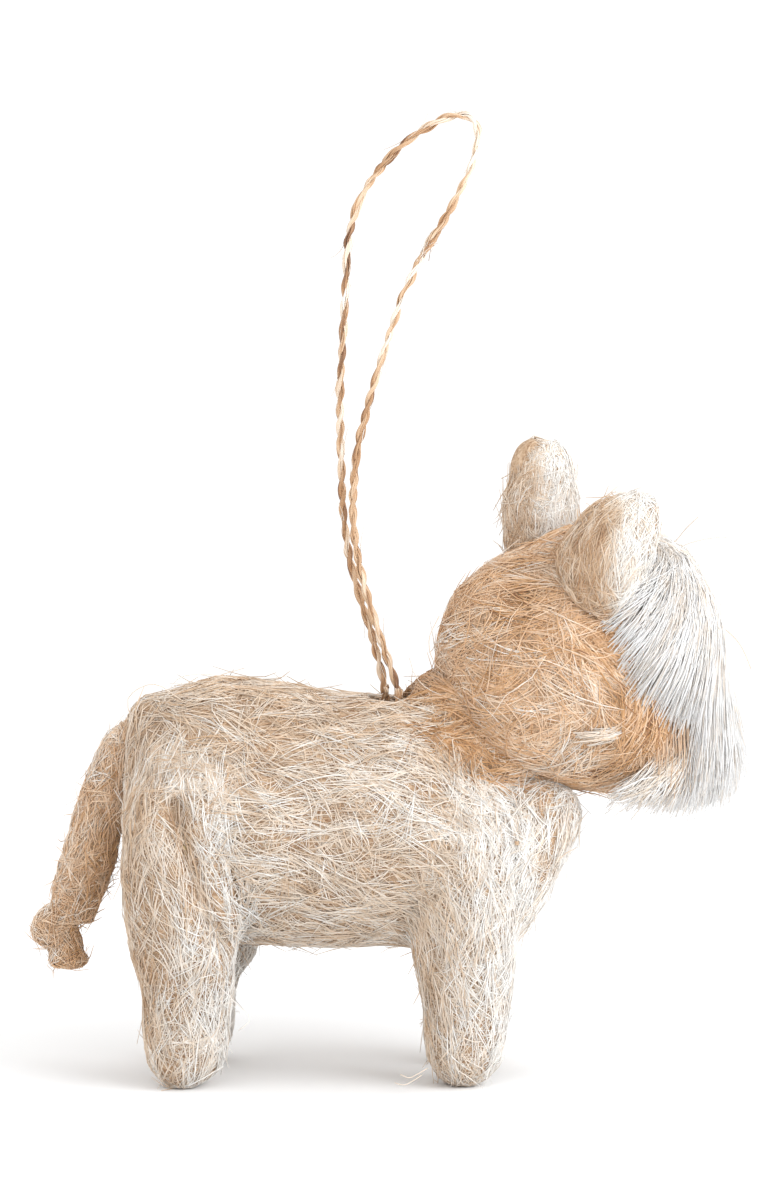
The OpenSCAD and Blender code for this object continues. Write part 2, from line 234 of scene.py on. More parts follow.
def solid_skin(name, node_names, voxel, smooth):
    """One closed surface round several CAD solids, with its edges eased."""
    heap = bmesh.new()
    for node in node_names:
        heap.from_mesh(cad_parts[node].data)
    rough = bpy.data.meshes.new(name)
    heap.to_mesh(rough)
    heap.free()
    holder = bpy.data.objects.new(name, rough)
    bpy.context.scene.collection.objects.link(holder)
    remesh = holder.modifiers.new("remesh", "REMESH")
    remesh.mode = "VOXEL"
    remesh.voxel_size = voxel
    ease = holder.modifiers.new("ease", "SMOOTH")
    ease.factor = 0.5
    ease.iterations = smooth
    graph = bpy.context.evaluated_depsgraph_get()
    mesh = bpy.data.meshes.new_from_object(holder.evaluated_get(graph))
    bpy.data.objects.remove(holder)
    mesh.name = name
    return mesh


def lump(points, broad, fine):
    """Uneven packing of the fibre: a height in metres at each point."""
    out = np.empty(len(points))
    for i, p in enumerate(points):
        v = Vector(p)
        out[i] = broad * noise.noise(v / BROAD) + fine * noise.noise(v / FINE)
    return out


def swell(mesh, out, broad, fine, form=None):
    """Moves the surface out, with lumps and, where given, a form of its own."""
    points = coords(mesh)
    push = out + lump(points, broad, fine)
    if form:
        push = push + form(points)
    points += normals(mesh) * push[:, None]
    mesh.vertices.foreach_set("co", points.ravel())
    mesh.update()
    return mesh


def tree_of(mesh):
    """Search tree of a surface."""
    faces = [tuple(p.vertices) for p in mesh.polygons]
    return BVHTree.FromPolygons([tuple(p) for p in coords(mesh)], faces)


def nearest(tree, points):
    """Nearest surface points and their normals."""
    hits = np.empty_like(points)
    ways = np.empty_like(points)
    for i, p in enumerate(points):
        hit, way, _, _ = tree.find_nearest(p)
        hits[i] = hit
        ways[i] = way
    return hits, ways


def scatter(mesh, count, rng):
    """Random points spread evenly over a surface."""
    mesh.calc_loop_triangles()
    corner = np.empty(len(mesh.loop_triangles) * 3, dtype=np.int32)
    mesh.loop_triangles.foreach_get("vertices", corner)
    a, b, c = coords(mesh)[corner.reshape(-1, 3)].transpose(1, 0, 2)
    area = np.linalg.norm(np.cross(b - a, c - a), axis=1)
    pick = rng.choice(len(area), count, p=area / area.sum())
    u, v = rng.random((2, count, 1))
    over = u + v > 1
    u, v = np.where(over, 1 - u, u), np.where(over, 1 - v, v)
    return a[pick] + u * (b[pick] - a[pick]) + v * (c[pick] - a[pick])


def strand_mesh(name, paths, radii, tones, sides=3):
    """Closed thin tubes along many paths. paths is (n, m, 3), radii and tones (n, m)."""
    n, m = paths.shape[:2]
    ahead = unit(np.gradient(paths, axis=1))
    guide = np.zeros((n, 1, 3))
    guide[np.arange(n), 0, np.argmin(np.abs(ahead).mean(axis=1), axis=1)] = 1
    across = unit(np.cross(ahead, guide))
    level = np.cross(ahead, across)
    a = np.arange(sides) * 2 * math.pi / sides
    ring = (np.cos(a)[:, None] * across[:, :, None] + np.sin(a)[:, None] * level[:, :, None])
    points = (paths[:, :, None] + ring * radii[:, :, None, None]).reshape(-1, 3)
    first = (np.arange(n) * m * sides)[:, None, None]
    row = (np.arange(m - 1) * sides)[None, :, None]
    k = np.arange(sides)[None, None]
    k2 = (k + 1) % sides
    walls = np.stack([first + row + k, first + row + k2, first + row + sides + k2,
                      first + row + sides + k], -1).reshape(-1, 4)
    starts = first[:, 0] + np.arange(sides)[None, ::-1]
    ends = first[:, 0] + (m - 1) * sides + np.arange(sides)[None]
    caps = np.concatenate([starts, ends])
    mesh = bpy.data.meshes.new(name)
    mesh.vertices.add(len(points))
    mesh.vertices.foreach_set("co", points.ravel())
    mesh.loops.add(walls.size + caps.size)
    mesh.loops.foreach_set("vertex_index", np.concatenate([walls.ravel(), caps.ravel()]))
    begin = np.concatenate([np.arange(len(walls)) * 4, walls.size + np.arange(len(caps)) * sides])
    mesh.polygons.add(len(begin))
    mesh.polygons.foreach_set("loop_start", begin)
    mesh.update(calc_edges=True)
    tone = mesh.attributes.new("tone", "FLOAT", "POINT")
    tone.data.foreach_set("value", np.repeat(tones.ravel(), sides))
    mesh.shade_smooth()
    return mesh


# ---------------------------------------------------------------- fibres on a surface

# How locks of fibre lie on a surface
ROOT_REACH = 2.6 * MM     # furthest from a coat's own skin to the ground its fibres lie on
LOCK_WIDE = 0.45 * MM     # spread of one lock's fibres, across and along it
LOCK_LONG = 2.2 * MM
LOCK_CURL = 70            # turn over the surface, in radians a metre
FIBRE_CURL = 25
FIBRE_TURN = 0.09
LOOSE_END = (0.5, 2.2)    # how far the loose ends stand off, in mm


def patches(points, middle, spots, unit_high=1.0):
    """Sum of soft round patches: each has a place from the middle and a radius, in mm, and a height."""
    total = np.zeros(len(points))
    for at, radius, height in spots:
        away = np.linalg.norm(points - (middle + MM * np.array(at)), axis=1) / (radius * MM)
        total += height * unit_high * np.exp(-away ** 2)
    return total


def spin(vectors, axes, angle):
    """Vectors turned about unit axes at right angles to them."""
    return vectors * np.cos(angle)[:, None] + np.cross(axes, vectors) * np.sin(angle)[:, None]


def fibres(name, skin, ground, count, heading, rng, long=9 * MM, lock=6, astray=0.22,
           sway=0.35, lift=0.35 * MM, tone=(0.5, 0.15), shade=None, steps=3, thick=FIBRE_R,
           loose=0.06):
    """Locks of matted fibre laid over a surface.

    heading gives the usual direction at points on the surface, astray is the part of the
    locks that lie any way, loose the part of the fibres whose ends stand off, and shade
    gives changes of tone at points on the surface.
    """
    locks = max(1, count // lock)
    at = scatter(skin, locks, rng)
    hit, way = nearest(ground, at)
    seen = np.linalg.norm(hit - at, axis=1) < ROOT_REACH
    hit, way = hit[seen], way[seen]
    locks = len(hit)
    course = heading(hit)
    course = unit(course - way * np.sum(course * way, axis=1)[:, None])
    turn = rng.normal(0, sway, locks)
    free = rng.random(locks) < astray
    turn[free] = rng.uniform(0, 2 * math.pi, free.sum())
    turn += math.pi * (rng.random(locks) < 0.5)
    course = spin(course, way, turn)
    curl = rng.normal(0, LOCK_CURL, locks)
    locktone = rng.normal(tone[0], tone[1], locks)
    height = rng.random(locks)
    # the fibres of each lock
    own = np.repeat(np.arange(locks), lock)
    n = len(own)
    side = np.cross(way, course)[own]
    start = (hit[own] + side * rng.normal(0, LOCK_WIDE, n)[:, None]
             + course[own] * rng.normal(0, LOCK_LONG, n)[:, None])
    length = long * rng.uniform(0.5, 1.4, n)
    bend = curl[own] + rng.normal(0, FIBRE_CURL, n)
    go = spin(course[own], way[own], rng.normal(0, FIBRE_TURN, n))
    step = length / steps
    t = np.linspace(0, 1, steps + 1)
    stand = lift * (0.15 + 0.85 * height[own] + 0.25 * rng.random(n))[:, None]
    stand = stand * (0.45 + 0.55 * np.sin(math.pi * t)[None])
    off = rng.random(n) < loose
    stand[off] += (rng.uniform(*LOOSE_END, off.sum()) * MM)[:, None] * (t[None] ** 3)
    paths = np.empty((n, steps + 1, 3))
    pos = start - go * (length / 2)[:, None]
    for k in range(steps + 1):
        hit, way = nearest(ground, pos)
        paths[:, k] = hit + way * stand[:, k, None]
        go = unit(go - way * np.sum(go * way, axis=1)[:, None])
        go = spin(go, way, bend * step)
        pos = hit + go * step[:, None]
    # nothing goes through the floor
    paths[:, :, 2] = np.maximum(paths[:, :, 2], thick)
    tones = (locktone[own] + rng.normal(0, 0.08, n))[:, None] + 0.04 * np.sin(7 * t)[None]
    if shade:
        tones = tones + shade(paths.reshape(-1, 3)).reshape(tones.shape)
    taper = (0.55 + 0.45 * np.sin(math.pi * t) ** 0.5)[None]
    radii = thick * rng.uniform(0.7, 1.25, n)[:, None] * taper
    return strand_mesh(name, paths, radii, np.clip(tones, 0, 1))


# ---------------------------------------------------------------- hanger

TWINE_D = 1.7 * MM
TWIST = 7 * MM                  # length of one full turn of the plies
PLY_OUT = 0.2 * TWINE_D         # from the middle of the twine to that of a ply
THREAD_OUT = 0.17 * TWINE_D     # from the middle of a ply to a thread
THREAD_R = 0.085 * TWINE_D
PLY_TONES = (0.2, 0.48)
SPLICE_AT = TRUNK + MM * np.array((6.4, -1.3, 141.2))

# From one end in the hole, round the top and back to the other
ROUTE = TRUNK + MM * np.array([
    (-1.2, 0.3, 65.3), (-1.6, 0.5, 68), (-3.2, 0.8, 74.5), (-5.2, 1, 81), (-7.1, 1.1, 88),
    (-8.2, 1.1, 96), (-8.6, 1.1, 105), (-8.8, 1.2, 115), (-8.3, 1.3, 125), (-7.8, 1.4, 134),
    (-7.2, 1.5, 143), (-4.9, 1.4, 149.8), (-1.4, 1.2, 154.9), (2.8, 0.9, 159), (7.4, 0.5, 161.9),
    (11.4, 0.1, 163.2), (14, -0.3, 162), (14.4, -0.7, 158.4), (13, -1, 153.6),
    (10.4, -1.2, 148.4), (8, -1.3, 144.2), (5.4, -1.4, 140), (2.4, -1.4, 134),
    (0.2, -1.4, 128), (-2.4, -1.3, 120), (-4.6, -1.2, 112), (-6.1, -1.1, 105), (-6.6, -1, 97),
    (-5.9, -0.9, 89), (-4.2, -0.8, 82), (-2.2, -0.6, 75.5), (0, -0.4, 69), (1.2, -0.3, 65.3),
])


def smooth_line(points, spacing):
    """Evenly spaced points on a Catmull-Rom curve through the given ones."""
    ends = np.vstack([2 * points[0] - points[1], points, 2 * points[-1] - points[-2]])
    fine = []
    for a, b, c, d in zip(ends, ends[1:], ends[2:], ends[3:]):
        for t in np.arange(0, 1, 0.05):
            fine.append(0.5 * (2 * b + (c - a) * t + (2 * a - 5 * b + 4 * c - d) * t ** 2
                               + (3 * b - 3 * c + d - a) * t ** 3))
    fine = np.array(fine + [points[-1]])
    along = np.concatenate([[0], np.cumsum(np.linalg.norm(np.diff(fine, axis=0), axis=1))])
    want = np.linspace(0, along[-1], int(along[-1] / spacing) + 1)
    return np.stack([np.interp(want, along, fine[:, i]) for i in range(3)], 1), want


def carried_frame(line):
    """Two directions across a line that don't twist along it."""
    ahead = unit(np.gradient(line, axis=0))
    across = np.empty_like(line)
    across[0] = unit(np.cross(ahead[0], (0, 1, 0)))
    for i in range(1, len(line)):
        v = across[i - 1] - ahead[i] * np.dot(across[i - 1], ahead[i])
        across[i] = unit(v)
    return across, np.cross(ahead, across)


def wobble(along, places, size, rng):
    """Slow random change along a line."""
    return np.interp(along, np.linspace(0, along[-1], places), rng.normal(0, size, places))


def outward(angle, across, level):
    """Directions at these angles round a line."""
    return np.cos(angle)[:, None] * across + np.sin(angle)[:, None] * level


def twine_paths(line, along, rng, threads=10):
    """Threads of a twine whose plies turn round the line and themselves."""
    plies = len(PLY_TONES)
    across, level = carried_frame(line)
    uneven = wobble(along, 40, 0.5, rng)
    paths, radii, tones = [], [], []
    fat = 1 + 0.16 * wobble(along, 70, 1, rng)
    for ply, base in enumerate(PLY_TONES):
        turn = 2 * math.pi * (along / TWIST + ply / plies) + uneven
        middle = PLY_OUT * (0.9 + 0.1 * fat)
        centre = line + middle[:, None] * outward(turn, across, level)
        drift = wobble(along, 26, 0.2, rng)
        for thread in range(threads):
            own = 2 * math.pi * (thread / threads - along / (TWIST * 1.8)) + rng.normal(0, 0.3)
            wander = wobble(along, 60, 0.22, rng)
            out = THREAD_OUT * fat * (0.9 + wander)
            out = np.clip(out, 0.02 * TWINE_D, 0.3 * TWINE_D)
            own = own + wander
            paths.append(centre + out[:, None] * outward(own, across, level))
            radii.append(THREAD_R * (1 + 0.2 * rng.normal()) * np.ones(len(line)))
            tones.append(base + drift + rng.normal(0, 0.08))
    radii = np.clip(np.array(radii), 0.05 * TWINE_D, None)
    return np.array(paths), radii, np.clip(np.array(tones), 0, 1)


def make_twine(material, wisp_count=46, splice_count=26, wisp_points=9):
    """The loop, with wisps that stand off it and a frayed splice."""
    rng = np.random.default_rng(4)
    line, along = smooth_line(ROUTE, 0.55 * MM)
    paths, radii, tones = twine_paths(line, along, rng)
    loop = link("hanger_loop_twine", strand_mesh("hanger_loop_twine", paths, radii, tones, 5), material)
    across, level = carried_frame(line)
    wisps, wisp_tones = [], []
    t = np.linspace(0, 1, wisp_points)
    for i in rng.integers(6, len(line) - 6, wisp_count):
        ahead = unit(line[min(i + 2, len(line) - 1)] - line[i - 2]) * rng.choice((-1, 1))
        a = rng.uniform(0, 2 * math.pi)
        out = math.cos(a) * across[i] + math.sin(a) * level[i]
        size = rng.uniform(2, 6.5) * MM
        reach = rng.uniform(0.06, 0.38)
        start = line[i] + out * 0.34 * TWINE_D
        curve = rng.normal(0, 0.12, 3)
        wisps.append(start + size * (t[:, None] * ahead + reach * (t ** 2)[:, None] * out
                                     + (t ** 3)[:, None] * curve))
        wisp_tones.append(np.full(wisp_points, rng.uniform(0.45, 0.9)))
    splice = line[np.argmin(np.linalg.norm(line - SPLICE_AT, axis=1))]
    for _ in range(splice_count):
        ahead = unit(np.array((0.55, 0, 0.83)) + rng.normal(0, 0.16, 3))
        start = splice - ahead * rng.uniform(0.4, 3) * MM + rng.normal(0, 0.42, 3) * MM
        wisps.append(start + ahead * t[:, None] * rng.uniform(2.2, 4.4) * MM
                     + rng.normal(0, 0.5, 3) * MM * (t ** 2)[:, None])
        wisp_tones.append(np.full(wisp_points, rng.choice((0.1, 0.85))))
    wisps = np.array(wisps)
    thin = np.full(wisps.shape[:2], 0.075 * MM) * (1 - 0.5 * t)[None]
    fuzz = strand_mesh("hanger_loop_wisps", wisps, thin, np.array(wisp_tones))
    fuzz = link("hanger_loop_wisps", fuzz, material)
    for piece in (loop, fuzz):
        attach(piece, "loop")
    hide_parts("hanger_loop")


def make_hitch(material):
    """Two turns of twine round the spine wire, and the two ends that rise from them."""
    rng = np.random.default_rng(5)
    turns = 2.1
    t = np.linspace(0, 1, 90)
    wire_at = TRUNK + MM * np.array((0, 0, 60.7))
    a = 2 * math.pi * turns * t
    ring = 1.55 * MM
    coil = wire_at + np.stack([(t - 0.5) * 1.7 * MM, ring * np.sin(a), -ring * np.cos(a)], 1)
    up = np.linspace(0, 1, 14)[1:, None]
    # each end reaches a little into the loop's foot, and bows out to one side
    into_loop = (0, 0, 1.2 * MM)
    side = np.array((0, 1.9 * MM, 0))
    start = coil[0] + (ROUTE[0] + into_loop - coil[0]) * up[::-1]
    start = start + side * np.sin(math.pi * up[::-1])
    end = coil[-1] + (ROUTE[-1] + into_loop - coil[-1]) * up
    end = end - side * np.sin(math.pi * up)
    line, along = smooth_line(np.vstack([start, coil, end])[::3], 0.5 * MM)
    paths, radii, tones = twine_paths(line, along, rng)
    twine = strand_mesh("hanger_hitch_twine", paths, radii, tones, 4)
    piece = link("hanger_hitch_twine", twine, material)
    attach(piece, "hitch")
    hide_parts("hanger_hitch")


# ---------------------------------------------------------------- coats

# Fold between the thigh and the belly, as (forward, up) places; shade is also painted along it
FLANK = MM * np.array(((-36, 49), (-34.5, 43), (-32.6, 37.5), (-30.4, 31), (-27, 25.5)))
# Line under the jaw where the chest meets the head, along which shade is painted
THROAT_SHADOW_LINE = MM * np.array(((9, 57), (15, 54), (22, 51.5), (30, 49.5)))


def groove(points, line, width):
    """1 on a fold seen from the side, falling off over its width."""
    flat = points[:, (0, 2)] - TRUNK[[0, 2]]
    best = np.full(len(points), np.inf)
    for a, b in zip(line, line[1:]):
        along = np.clip((flat - a) @ (b - a) / ((b - a) @ (b - a)), 0, 1)
        best = np.minimum(best, np.linalg.norm(flat - a - along[:, None] * (b - a), axis=1))
    outside = np.clip((np.abs(points[:, 1] - TRUNK[1]) / MM - 9) / 5, 0, 1)
    return np.exp(-(best / width) ** 2) * outside


def trunk_form(points):
    """Folds pressed into the coat and mats that stand a little above the rest."""
    spots = (((31, -3, 44), 6, 0.4), ((28.5, -4, 50), 5.5, 2.4), ((25, -8, 49), 6, 1.0),
             ((-28, -21, 50), 8, 0.5), ((4, -20, 32), 9, 0.5), ((-25, 12, 20), 4.5, 3.0),
             ((-43.5, 0, 61), 6, 2.8), ((-46, 0, 52), 5, 1.0), ((-29, -16, 1.5), 4, -1.4),
             ((16.5, -16, 1), 4, -0.8))
    fold_deep = 2.2 * MM
    return patches(points, TRUNK, spots, MM) - fold_deep * groove(points, FLANK, 2.0 * MM)


def trunk_way(points):
    """Fibres run along the back, down the rump and the thighs and down the chest."""
    x, _, z = (points - TRUNK).T / MM
    down = np.clip((x - 4) / 12, 0, 1)[:, None]
    rump = np.clip((-34 - x) / 9, 0, 1)[:, None]
    ribs = np.clip((40 - z) / 14, 0, 1)[:, None]
    rest = (1 - down) * (1 - rump)
    return (rest * ((1 - ribs) * np.array((1, 0, -0.12)) + ribs * np.array((1, 0, -0.5)))
            + down * np.array((-0.4, 0, -1)) + rump * np.array((-0.45, 0, -1)))


def trunk_shade(points):
    """Painted light over the chest, which faces the key lamp; painted shade in the recess at the neck
    and in the folds; browner on the rump.
    """
    x, _, z = (points - TRUNK).T / MM
    # the first spot is painted shade in the recess at the neck; the others are paler and browner
    # patches of the fibre
    spots = (((13, -8, 63), 4, -0.15), ((-44, -8, 56), 8, -0.07), ((3, -21, 52), 9, 0.12),
             ((-14, -22, 45), 6, 0.1), ((-38, -17, 54), 9, 0.05), ((-8, -20, 30), 8, -0.05),
             ((9, -18, 40), 6, 0.08))
    # painted light: paler towards the chest, which faces the key lamp
    chest = 0.2 * np.clip((x - 8) / 18, 0, 1)
    back = 0.1 * np.clip((z - 56) / 12, 0, 1)
    # painted shade in the flank fold and under the jaw
    return (chest - back + patches(points, TRUNK, spots)
            - 0.28 * groove(points, FLANK, 1.8 * MM) - 0.3 * groove(points, THROAT_SHADOW_LINE, 2.5 * MM))


def leg_way(points):
    """Fibres run down the legs."""
    return np.tile((0.08, 0, -1.0), (len(points), 1))


def leg_shade(points):
    """Painted light: the fronts of the legs, which face the key lamp, are paler than their backs;
    painted shade in the flank fold; the thighs are paler than the feet.
    """
    x, _, z = (points - TRUNK).T / MM
    is_front_leg = x > -10
    middle = np.where(is_front_leg, 12.4, -34.5)
    # painted light: the side of each leg that faces the key lamp is paler
    front = np.clip((x - middle) / 7, -1, 1) + np.where(is_front_leg, 0.4, 0.3)
    foot = np.clip((4 - z) / 4, 0, 1)
    # painted shade along the flank fold
    return 0.19 * front - 0.28 * groove(points, FLANK, 1.8 * MM) - 0.08 * foot


def head_way(points):
    """Windings round an axis that leaves the near cheek, mixed with level ones at the back."""
    rel = points - HEAD_AT
    around = unit(np.cross(unit(np.array((-0.15, -0.86, -0.42))), rel))
    level = unit(np.cross((0, 0, 1.0), rel))
    level *= np.sign(np.sum(level * around, axis=1))[:, None]
    back = np.clip(-(rel @ HEAD_TURN)[:, 0] / SKULL_R, 0, 1)[:, None]
    return around * (1 - 0.75 * back) + level * 0.75 * back


def head_form(points):
    """Fuller at the jaw, the snout, the chin, the crown and over the neck; a fold at the near ear."""
    spots = (((3, -5, -19), 9, 1.8), ((8, -9, -17), 7, 0.8), ((-5, -13, 12), 3.5, -1.2),
             ((15, -10, -9), 7.5, 4.0), ((14, -8, -15), 6, 3.0), ((-2.4, 17.8, -8), 7.5, 4.0),
             ((-1.1, 16, -15), 6, 3.0), ((5, 0, 20.5), 6.5, 3.6), ((-9, -13, -10), 8, 2.4))
    return patches(points, HEAD_AT, spots, MM)


def head_shade(points):
    """Paler on the cheek and the jaw, browner at the snout and the temple; painted shade in the hollow
    at the near ear's foot, and over the front of the head to tone down the key lamp there.
    """
    # the fourth spot is painted shade in the hollow at the near ear's foot
    spots = (((7.5, -18, -3.9), 3.8, 0.16), ((9, -16, 6.8), 5.5, -0.16), ((16, -12, -9), 7, -0.16),
             ((-4.6, -14, 11.6), 3.0, -0.4), ((2, -17, -15), 7, 0.14), ((-3, -18, -9), 3, -0.08))
    # painted shade: darker towards the front of the head, against the key lamp's light
    forward = np.clip((points - HEAD_AT)[:, 0] / SKULL_R, 0, 1)
    return patches(points, HEAD_AT, spots) - 0.05 * forward


def ear_way(points):
    """Fibres run up the ears."""
    return np.tile(HEAD_TURN @ (0.1, 0, 1.0), (len(points), 1))


def ear_form(points):
    """The near ear is fuller behind, the far one cut away at its back corner."""
    spots = (((28.5, -9, 90), 4.5, 1.7), ((33, -9, 96.5), 4, 1.0), ((20.5, 12, 105.5), 4.5, -2.2))
    return patches(points, TRUNK, spots, MM)


def ear_shade(points):
    """Tan behind and paler in front, painted light on the side that faces the key lamp, with an uneven
    edge between.
    """
    x, y, z = (points - TRUNK).T / MM
    wave = lump(points, 2.5, 1.5)
    near = y < 4
    # painted light: each ear is paler past this edge, on the side that faces the key lamp
    edge = np.where(near, 37.8 + 0.12 * (z - 90), 26 + 0.05 * (z - 98))
    back = np.where(near, -0.24, -0.1)
    front = 0.5 + 0.5 * np.tanh((x + wave - edge) / 1.5)
    return back + (0.28 - back) * front


def neck_shade(points):
    """As the head's fibre, with painted shade where it meets the back."""
    x, _, z = (points - TRUNK).T / MM
    # painted shade along the edge where the neck meets the back
    return -0.2 * np.clip((79 - z - 1.1 * x) / 5, 0, 1)


def tail_form(points):
    """The root is pressed thin where it leaves the rump."""
    return patches(points, TRUNK, (((-46.5, 0, 64.5), 4.5, -2.6),), MM)


def tail_way(points):
    """Fibres run down the tail."""
    return np.tile(TAIL_TURN @ (0, 0, -1.0), (len(points), 1))


def tail_shade(points):
    """Browner towards the rump and the tip."""
    local = (points - TAIL_AT) @ TAIL_TURN / MM
    return 0.1 * np.clip(-local[:, 0] / 4, -1, 1) - 0.06 + 0.1 * np.clip((local[:, 2] + 10) / 8, 0, 1)


# The short fibres felted into a coat lie any way, close to it, and are darker than the long ones:
# painted shade under them
FELT = dict(long=4.5 * MM, lock=3, astray=0.5, sway=0.9, lift=0.14 * MM, steps=2, loose=0)
FELT_PAINTED_SHADE = 0.12
FELT_SPREAD = 0.13

# Size of the grain of the coats' skins
VOXEL = 0.8 * MM


def coat(node, body, slot, skin, ground, count, felt, way, mat, fibre, seed, **kinds):
    """A packed mat, the short felted fibres in it and the long ones over it, for one CAD coat."""
    under = link(node + "_mat", skin, mat)
    under.data.shade_smooth()
    rng = np.random.default_rng(seed)
    laid = fibres(node + "_fibres", skin, ground, count, way, rng, **kinds)
    over = link(node + "_fibres", laid, fibre)
    # the felted fibres are painted darker, for the shade under the long ones
    deep = dict(kinds, **FELT, tone=(kinds["tone"][0] - FELT_PAINTED_SHADE, FELT_SPREAD))
    packed = fibres(node + "_felt", skin, ground, felt, way, rng, **deep)
    short = link(node + "_felt", packed, fibre)
    for piece in (under, over, short):
        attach(piece, body)
    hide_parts(node)


def make_body(mat, fibre, warm):
    """Coats of the trunk, the neck and the legs, laid over one shared ground."""
    legs = {name: [name + "_coat", name + "_core"] for name in
            ("right_hind_leg", "left_hind_leg", "right_front_leg", "left_front_leg")}
    sources = [n for pair in legs.values() for n in pair] + ["body_coat", "body_core", "neck_wrap"]
    lumps = (0.6 * MM, 0.2 * MM, trunk_form)
    ground = tree_of(swell(solid_skin("union", sources, VOXEL, 10), -0.3 * MM, *lumps))

    def part(node, names, count, felt, way, shade, seed, fibre=fibre, **kinds):
        """One coat of the body."""
        skin = swell(solid_skin(node, names, VOXEL, 6), -0.45 * MM, *lumps)
        coat(node, "goat", "body_fibre", skin, ground, count, felt, way, mat, fibre, seed, shade=shade,
             **kinds)

    part("body_coat", ["body_coat", "body_core"], 12000, 11000, trunk_way, trunk_shade, 11,
         tone=(0.74, 0.09))
    part("neck_wrap", ["neck_wrap"], 2000, 1800, head_way, neck_shade, 12, fibre=warm,
         tone=(0.6, 0.13), sway=0.2)
    for seed, (leg, names) in enumerate(legs.items(), 13):
        part(leg + "_coat", names, 3700, 3200, leg_way, leg_shade, seed, tone=(0.79, 0.09), sway=0.3,
             long=8 * MM)


def make_head(mat, fibre):
    """Long fibres wound round the head."""
    skin = swell(solid_skin("head_coat", ["head_coat", "head_core"], VOXEL, 6), -0.2 * MM, 0.8 * MM,
                 0.25 * MM, head_form)
    coat("head_coat", "goat", "head_fibre", skin, tree_of(skin), 7200, 9000, head_way, mat, fibre, 21,
         long=12 * MM, sway=0.2, astray=0.16, steps=4, tone=(0.58, 0.14), lift=0.45 * MM,
         shade=head_shade, thick=0.095 * MM)


def make_tail(mat, fibre):
    """The felted tail, its knot and its cut end."""
    union = solid_skin("tail_union", ["tail_coat", "tail_core", "tail_knot", "tail_tuft"], 0.6 * MM, 6)
    ground = tree_of(swell(union, -0.1 * MM, 0.5 * MM, 0.3 * MM, tail_form))
    for node, sources, count, seed, size in (("tail_coat", ["tail_coat", "tail_core"], 2600, 31, 4.5),
                                             ("tail_knot", ["tail_knot"], 600, 32, 3.5),
                                             ("tail_tuft", ["tail_tuft"], 420, 33, 3.5)):
        skin = swell(solid_skin(node, sources, 0.5 * MM, 3), -0.2 * MM, 0.5 * MM, 0.3 * MM, tail_form)
        coat(node, "tail", "tail_fibre", skin, ground, count, count // 2, tail_way, mat, fibre, seed,
             long=size * MM, sway=0.7, astray=0.35, tone=(0.68, 0.12), thick=0.085 * MM, lift=0.5 * MM,
             shade=tail_shade)


def make_ears(mat, fibre):
    """Smooth ears of fibre laid along them."""
    for node, seed in (("right_ear", 41), ("left_ear", 42)):
        skin = swell(solid_skin(node, [node], 0.45 * MM, 3), -0.3 * MM, 0.3 * MM, 0.15 * MM, ear_form)
        coat(node, "goat", "ear_fibre", skin, tree_of(skin), 2600, 1600, ear_way, mat, fibre, seed,
             long=7 * MM, sway=0.3, astray=0.2, lift=0.3 * MM, tone=(0.72, 0.09), shade=ear_shade)


# ---------------------------------------------------------------- hair of the face

# The face hair in the head's frame, in mm: how far forward its middle is, and its outline from its
# root over the brow and down, as (out, up)
HAIR_X = 8
HAIR_LINE = np.array(((5, 22.5), (12, 21.5), (16, 19.5), (20, 14.5), (22.5, 10), (24.5, 4), (25.5, -3),
                      (27, -8.3), (29, -13), (30, -18), (29.5, -23), (29, -27)), float)
HAIR_DOWN = np.concatenate([[0], np.cumsum(np.linalg.norm(np.diff(HAIR_LINE, axis=0), axis=1))])


def hair_height(up):
    """Way down the outline at which it is this high, past the brow."""
    return np.interp(-up, -HAIR_LINE[:, 1], HAIR_DOWN)


def hair_place(deep, azimuth, down, squeeze):
    """Places under the outline, turned to a side; squeeze narrows the hair."""
    r = np.interp(down, HAIR_DOWN, HAIR_LINE[:, 0]) - deep
    z = np.interp(down, HAIR_DOWN, HAIR_LINE[:, 1]) - deep * 0.25
    return np.stack([HAIR_X + r * np.cos(azimuth), squeeze * r * np.sin(azimuth), z], -1)


def hair(name, rng, root_a, tip_a, root_down, tip_down, deep, squeeze, tone, thick=0.1 * MM, steps=5,
         wave=0.35):
    """Fibres along the outline from roots to cut ends; angles in radians, the rest in mm."""
    n = len(root_a)
    t = np.linspace(0, 1, steps + 1)[None]
    a = root_a[:, None] + (tip_a - root_a)[:, None] * t ** 0.85
    down = root_down[:, None] + np.maximum(tip_down - root_down, 2)[:, None] * t
    paths = hair_place(deep[:, None] * (0.4 + 0.6 * t), a, down, squeeze)
    curl = (rng.normal(0, wave, (n, 1, 3))
            * np.sin(math.pi * t * rng.uniform(0.5, 1.7, (n, 1)))[..., None])
    ends = rng.normal(0, 0.5, (n, 1, 3)) * (t ** 2)[..., None]
    paths = (paths + curl + ends) * MM @ HEAD_TURN.T + HEAD_AT
    radii = thick * rng.uniform(0.7, 1.2, n)[:, None] * (1 - 0.2 * t)
    tones = np.clip(tone, 0, 1)[:, None] - 0.05 + 0.1 * t
    return strand_mesh(name, paths, radii, tones)


def forelock_hair(rng, count=6200):
    """A dense fringe: short at the temples, long and mixed over the face."""
    tip = rng.uniform(-122, 118, count)
    root = tip * 0.42 + rng.normal(0, 5, count)
    side = np.abs(tip)
    up = np.interp(side, (0, 62, 75, 95, 103, 107, 112, 122), (-9, -8, -6, -3, 0, 4, 8, 13))
    long = (side < 76) & (rng.random(count) < 0.6)
    up = np.where(long, rng.uniform(-20, -10, count), up) + rng.normal(0, 1.3, count)
    start = rng.uniform(-1, 12, count)
    return hair("forelock_hair", rng, np.radians(root), np.radians(tip), start, hair_height(up),
                4.5 * rng.random(count) ** 1.4, 0.85, rng.normal(0.95, 0.08, count))


